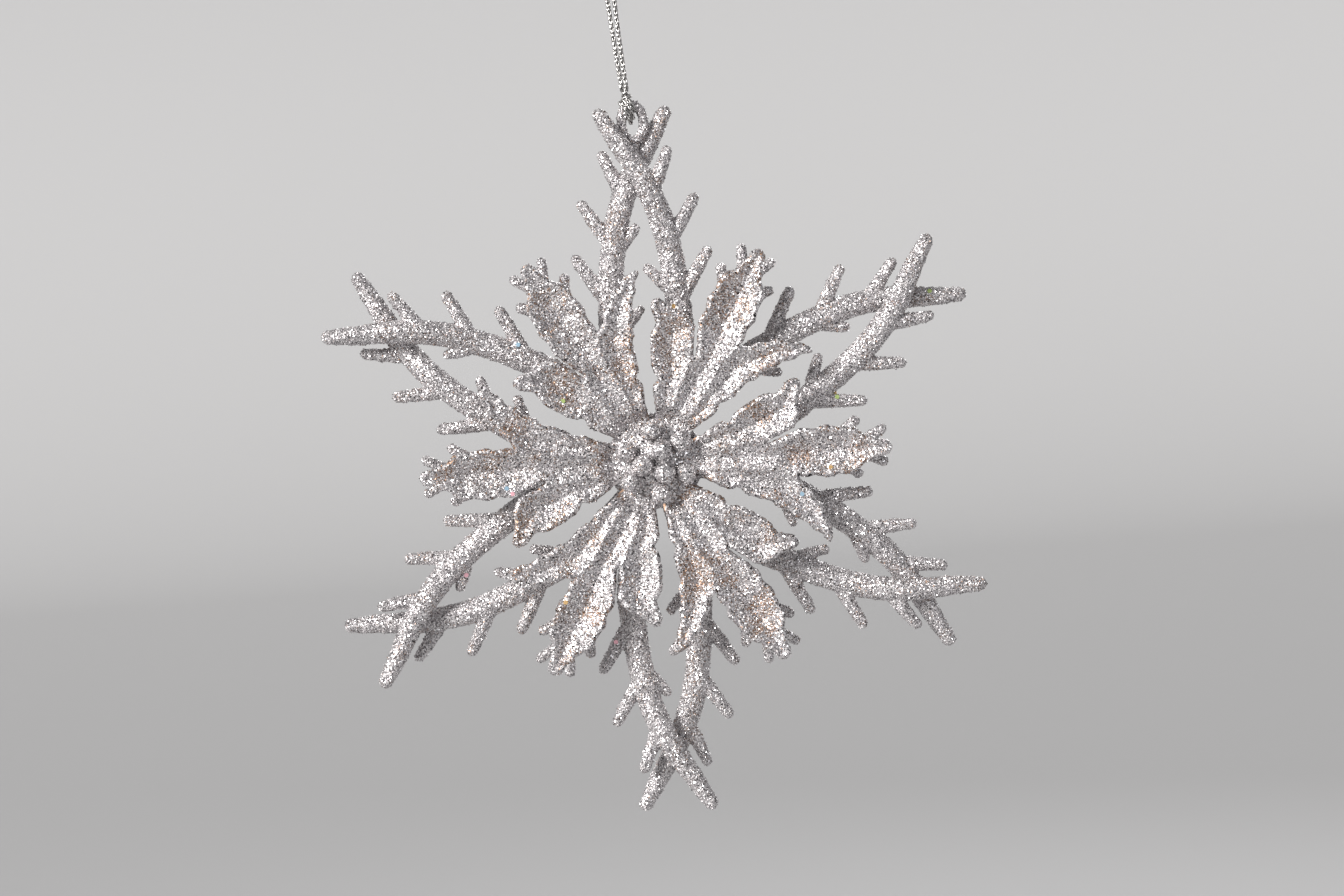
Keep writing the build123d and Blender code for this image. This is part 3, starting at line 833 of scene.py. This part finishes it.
# The turns round the rim: (shift along it, lean, how far the turn hangs into the hole)
HITCH_TURNS = ((0.46, -0.2, 0.0), (-0.46, 0.2, 0.5), (-0.1, 0.1, 1.2), (-1.2, -0.3, 1.9))
CORD_RADIUS = 0.45
STAR_DROP = -STAR.z / MM     # of the star's centre below the cord's hook
END_KNOT_HEIGHT = 4.6
END_KNOTS = ((1.6, 0.9), (1.3, 2.6))   # the knot's turns: (radius, tilt)
KNOT_DEPTH = 0.75            # front to back, of its reach
TAIL_ENDS = ((-2.3, 8.4), (1.7, 8.9))  # (x, z) from the hook
TAIL_BOW = (0.25, -0.3, 0)
# The strands' routes from ring to knot, as in the CAD: (x, z) from the hook
STRAND_LEFT_ROUTE = ((-1.62, -65.05), (-3.58, -45.2), (-4.75, -25.6), (-4.60, -13.2),
                     (-3.85, -5.6), (-3.30, -0.9), (-2.35, 2.0), (-0.95, 3.75))
STRAND_RIGHT_ROUTE = ((-0.70, -65.05), (-2.46, -45.2), (-1.30, -25.6), (0.95, -13.2),
                      (2.75, -5.6), (3.25, -0.9), (2.30, 2.0), (0.95, 3.75))
PLIES = 3                    # each way
PLY_RADIUS = 0.15
PLY_CIRCLE = 0.29            # of the plies' centres round the strand's
PLY_WEAVE = 0.06             # how far a ply rises and dips as it passes the others
PLY_PITCH = 5.1
PLY_STEP = 0.17
# Of the near-black core, whose colour is painted shade in the gaps between the plies
GAP_SHADE_CORE_RADIUS = 0.27


def rim_point(turn):
    """A point of the hanging ring's middle line, by its turn anticlockwise from the top."""
    return spot(TOP_SPOKE, RING_ALONG + RING_HALF_HEIGHT * math.cos(turn),
                RING_ACROSS - RING_HALF_WIDTH * math.sin(turn))


def ring_mesh():
    """The oval hanging ring and its foot."""
    turns, sides = 72, 20
    verts, faces = [], []
    for t in range(turns):
        a = 2 * math.pi * t / turns
        centre = rim_point(a)
        ahead = rim_point(a + 0.01) - centre
        outwards = np.array([ahead[2], 0, -ahead[0]])
        outwards /= -np.linalg.norm(outwards)
        for s in range(sides):
            b = 2 * math.pi * s / sides
            verts.append(centre + RING_TUBE_RADIUS * (outwards * math.cos(b)
                                                      + np.array([0, math.sin(b), 0])))
            n, m = (t + 1) % turns * sides, (s + 1) % sides
            faces.append((t * sides + s, t * sides + m, n + m, n + s))
    foot = tube([rim_point(math.pi), spot(TOP_SPOKE, RING_FOOT_END, 0.0)], RING_FOOT_RADII)
    return melted("ring", joined([(np.array(verts), faces), foot]), FINE_VOXEL, 2)


def read_route(route):
    """Close points along the smooth spline that a cord's route controls, in millimetres."""
    curve = bpy.data.curves.new("route", "CURVE")
    curve.dimensions = "3D"
    curve.resolution_u = 32
    spline = curve.splines.new("NURBS")
    spline.points.add(len(route) - 1)
    for point, (x, z) in zip(spline.points, route):
        point.co = (x * MM, 0, z * MM, 1)
    spline.order_u = 3
    spline.use_endpoint_u = True
    holder = bpy.data.objects.new("route", curve)
    bpy.context.collection.objects.link(holder)
    depsgraph = bpy.context.evaluated_depsgraph_get()
    mesh = bpy.data.meshes.new_from_object(holder.evaluated_get(depsgraph))
    points = np.array([tuple(v.co) for v in mesh.vertices]) / MM
    bpy.data.objects.remove(holder)
    return points


def spaced(points, step):
    """Evenly spaced points along a line of points."""
    runs = np.linalg.norm(np.diff(points, axis=0), axis=1)
    at = np.concatenate([[0], np.cumsum(runs)])
    count = max(2, round(at[-1] / step) + 1)
    where = np.linspace(0, at[-1], count)
    return np.stack([np.interp(where, at, points[:, i]) for i in range(3)], axis=1), where


def braided(points):
    """A braided cord along points: plies that wind both ways over each other, and a near-black
    core inside them, whose colour is painted shade where it shows between the plies.
    """
    line, at = spaced(points, PLY_STEP)
    tangents, ups, sideways = frames_along(line)
    plies = []
    for way in (1, -1):
        reach = PLY_CIRCLE + way * PLY_WEAVE * np.cos(2 * PLIES * math.pi * at / PLY_PITCH)
        for start in range(PLIES):
            angle = way * 2 * math.pi * at / PLY_PITCH + 2 * math.pi * start / PLIES
            ply = line + reach[:, None] * (np.cos(angle)[:, None] * ups
                                           + np.sin(angle)[:, None] * sideways)
            plies.append(tube(ply, np.full(len(ply), PLY_RADIUS), 7, 2))
    shade_core = tube(line, np.full(len(line), GAP_SHADE_CORE_RADIUS), 8, 2)
    return joined(plies), shade_core


def from_hook(x, z):
    """A point given from the cord's hook, in millimetres from the star's centre."""
    return np.array([x, 0.0, z + STAR_DROP])


def cord_piece(name, cords, body, nodes):
    """A piece made of braided cords, each its plies and its near-black core, whose colour is
    painted shade in the gaps between the plies, in star millimetres.
    """
    plies = joined([plies for plies, _ in cords])
    mesh = to_mesh(name, *joined([plies, *[shade_core for _, shade_core in cords]]))
    mesh.materials.append(THREAD)
    mesh.materials.append(THREAD_GAP_SHADE)
    # The cores' faces take the near-black thread: painted shade in the gaps between the plies.
    gap_shade_faces = np.arange(len(mesh.polygons)) >= len(plies[1])
    mesh.polygons.foreach_set("material_index", gap_shade_faces.astype(np.int32))
    mesh.shade_smooth()
    return place_piece(f"{name}_look", mesh, body, nodes)


def make_strand(name, route, with_pieces):
    """One strand of the cord, braided along its route and put in place of its CAD node."""
    points = read_route(route)
    star_points = points + np.array([0, 0, STAR_DROP])
    strand = cord_piece(name, [braided(star_points)], "cord", [name])


def knotted(centre, radius, tilt):
    """A small overhand knot's turns, as a trefoil of cord about a centre."""
    t = np.linspace(0, 2 * math.pi, 72, endpoint=False)
    reach = radius - CORD_RADIUS
    x = reach * (np.sin(t) + 2 * np.sin(2 * t)) / 3
    z = reach * (np.cos(t) - 2 * np.cos(2 * t)) / 3
    y = -reach * KNOT_DEPTH * np.sin(3 * t)
    turned = np.stack([x, y, z], axis=1) @ np.array(Matrix.Rotation(tilt, 3, "Y"))
    return braided(np.vstack([turned, turned[:1]]) + centre)


def make_hitch():
    """The cord's hitch: its strands twist together above the ring and turn round the rim."""
    way = spot(TOP_SPOKE + HITCH_ANGLE, 1.0, 0.0)
    tangent = spot(TOP_SPOKE + HITCH_ANGLE, 0.0, 1.0)
    front = np.array([0, -1.0, 0])
    rim = rim_point(math.atan(RING_HALF_WIDTH / RING_HALF_HEIGHT
                              * math.tan(math.radians(HITCH_ANGLE))))
    share = np.linspace(0, 1, 24)[:, None]
    ends = [from_hook(*STRAND_LEFT_ROUTE[0]), from_hook(*STRAND_RIGHT_ROUTE[0])]
    middle_line = (ends[0] + ends[1]) / 2 * (1 - share) + (rim + NECK_FOOT * way) * share
    apart = (ends[1] - ends[0]) / 2 * (1 - share) + tangent * NECK_HALF_GAP * share
    twist = math.pi * share
    offset = apart * np.cos(twist) + front * NECK_HALF_GAP * np.sin(twist)
    neck = [braided(middle_line + side * offset) for side in (-1, 1)]
    knot = cord_piece("hitch_knot", neck, "knot", ["hitch_knot"])
    turns = []
    angles = np.linspace(*np.radians(TURN_ENDS), 48)
    for shift, lean, swell in HITCH_TURNS:
        turns.append(braided(np.array([
            rim + (WRAP_RADIUS + swell * math.sin(a / 2) ** 4) * (math.cos(a) * way
                                                                  + math.sin(a) * front)
            + tangent * (shift + lean * math.cos(a)) for a in angles])))
    turns.append(braided(np.array([
        rim + way * (BAR_RISE[0] + BAR_RISE[1] * math.cos(b))
        + tangent * BAR_HALF_WIDTH * math.cos(b)
        + front * (BAR_REACH[0] + BAR_REACH[1] * math.sin(b))
        for b in np.linspace(*np.radians(BAR_ENDS), 40)])))
    loop = cord_piece("hitch_loop", turns, "wrap", ["hitch_loop"])
    return [loop, knot]


def make_end_knot():
    """The knot that closes the loop above the hook, with the cord's two cut ends."""
    centre = from_hook(0, END_KNOT_HEIGHT)
    cords = [knotted(centre, radius, tilt) for radius, tilt in END_KNOTS]
    for x, z in TAIL_ENDS:
        end = from_hook(x, z)
        line = [centre + (end - centre) * t + np.array(TAIL_BOW) * math.sin(math.pi * t)
                for t in np.linspace(0.15, 1, 20)]
        cords.append(braided(np.array(line)))
    return [cord_piece("end_knot", cords, "cord", ["end_knot"])]


make_strand("cord_strand_left", STRAND_LEFT_ROUTE, make_hitch())
make_strand("cord_strand_right", STRAND_RIGHT_ROUTE, make_end_knot())


# ---------------------------------------------------------------- building the star

TWIG_BRONZE = 0.10
LEAF_BRONZE = 0.32
prototypes = {
    "front_low": long_twig(True, (INNER_THORN_LOW,), 1),
    "front_high": long_twig(True, (INNER_THORN_HIGH,), 2),
    "rear_low": long_twig(False, (INNER_THORN_LOW, INNER_THORN_ROOT), 3),
    "rear_high": long_twig(False, (INNER_THORN_HIGH, INNER_THORN_ROOT), 4),
    "short": short_twig(),
    "leaf": leaf_mesh(5),
}
for mesh in prototypes.values():
    triangles(mesh)
for arm in range(ARMS):
    behind_high = arm in ARMS_WITH_HIGH_THORN_BEHIND
    kinds = {
        f"twig_front_{arm + 1}": ("front_low" if behind_high else "front_high", "twigs"),
        f"twig_rear_{arm + 1}": ("rear_high" if behind_high else "rear_low", "twigs"),
        f"short_twig_{arm + 1}": ("short", "twigs"),
        f"leaf_{arm + 1}": ("leaf", "leaves"),
    }
    turn = Matrix.Rotation(math.radians(arm * ARM_STEP), 4, "Y")
    for number, (name, (prototype, coat)) in enumerate(kinds.items()):
        mesh = prototypes[prototype].copy()
        mesh.transform(turn)
        bronze = LEAF_BRONZE if coat == "leaves" else TWIG_BRONZE
        glittered(mesh, COATS[coat], bronze, 10 * arm + number)
        place_piece(f"{name}_look", mesh, "star", [name])

middle_pieces = {
    "hub_plate": (discs_mesh("hub", HUB_DISC), "hub"),
    "bead_boss": (discs_mesh("boss", BOSS_STEM, BOSS_CAP), "hub"),
    "outer_beads": (bead_ring(*OUTER_BEADS, 1), "beads"),
    "inner_beads": (bead_ring(*INNER_BEADS, 8), "beads"),
    "hanging_ring": (ring_mesh(), "ring"),
}
for number, (name, (mesh, coat)) in enumerate(middle_pieces.items()):
    roughened(mesh, *MIDDLE_ROUGHNESS, number)
    glittered(triangles(mesh), COATS[coat], TWIG_BRONZE, 100 + number)
    place_piece(f"{name}_look", mesh, "star", [name])

# Large flakes of other colours: (spoke, along, across, which colour)
SPANGLE_SPOTS = (
    (0.0, 36.5, -11.0, 1), (0.0, 36.9, -10.2, 0), (0.0, 34.2, 3.3, 1), (0.0, 28.2, 8.1, 3),
    (60.0, 29.2, -10.3, 1), (120.0, 34.4, -9.7, 3), (180.0, 28.6, -4.1, 2),
    (180.0, 29.7, -3.0, 3), (-120.0, 35.9, -8.8, 2), (-120.0, 32.5, 4.0, 1),
    (-150.0, 43.9, 2.2, 2), (30.0, 64.2, 2.5, 0), (150.0, 21.8, 2.8, 0),
)
SPANGLE_RADIUS = 0.48
SPANGLE_THICKNESS = 0.14
SPANGLE_LIFT = 0.06
SPANGLE_FRONT = 0.65         # how far a spangle turns from the coat's normal to the front
SEARCH_START = 0.05          # in front of the star's middle, in metres
SEARCH_END = 0.02            # behind it
SEARCH_STEP = 0.00005
SEARCH_TRIES = 12


def surface_in_front(x, z):
    """The star's foremost point at a place on its face, and its normal, in the frame."""
    start = STAR + Vector((x * MM, -SEARCH_START, z * MM))
    ahead = Vector((0, 1, 0))
    depsgraph = bpy.context.evaluated_depsgraph_get()
    for _ in range(SEARCH_TRIES):
        hit, point, normal, _, owner, _ = bpy.context.scene.ray_cast(depsgraph, start, ahead)
        if not hit or point.y > STAR.y + SEARCH_END:
            return None
        if owner.name.endswith("_look"):
            return point, normal
        start = point + ahead * SEARCH_STEP
    return None


def make_spangles():
    """All the spangles as one piece of thin six-sided plates that lie on the coat."""
    draw = np.random.default_rng(77)
    plates, colours = [], []
    for spoke, along, across, colour in SPANGLE_SPOTS:
        x, _, z = spot(spoke, along, across)
        found = surface_in_front(x, z)
        if not found:
            continue
        point, normal = found
        up = (normal * (1 - SPANGLE_FRONT) + Vector((0, -SPANGLE_FRONT, 0))).normalized()
        side = up.cross(Vector((draw.uniform(-1, 1), 0.1, draw.uniform(-1, 1)))).normalized()
        other = up.cross(side)
        centre = (point - STAR) / MM + up * SPANGLE_LIFT
        ring = [side * math.cos(a) + other * math.sin(a)
                for a in np.linspace(0, 2 * math.pi, 6, endpoint=False)]
        verts = [np.array(centre + r * SPANGLE_RADIUS + up * h)
                 for h in (-SPANGLE_THICKNESS / 2, SPANGLE_THICKNESS / 2) for r in ring]
        faces = [(i, (i + 1) % 6, (i + 1) % 6 + 6, i + 6) for i in range(6)]
        faces += [(5, 4, 3, 2, 1, 0), (6, 7, 8, 9, 10, 11)]
        plates.append((np.array(verts), faces))
        colours += [colour] * len(faces)
    mesh = to_mesh("spangles", *joined(plates))
    for metal in SPANGLES:
        mesh.materials.append(metal)
    mesh.polygons.foreach_set("material_index", np.array(colours, np.int32))
    place_piece("spangles_look", mesh, "star", [])


make_spangles()
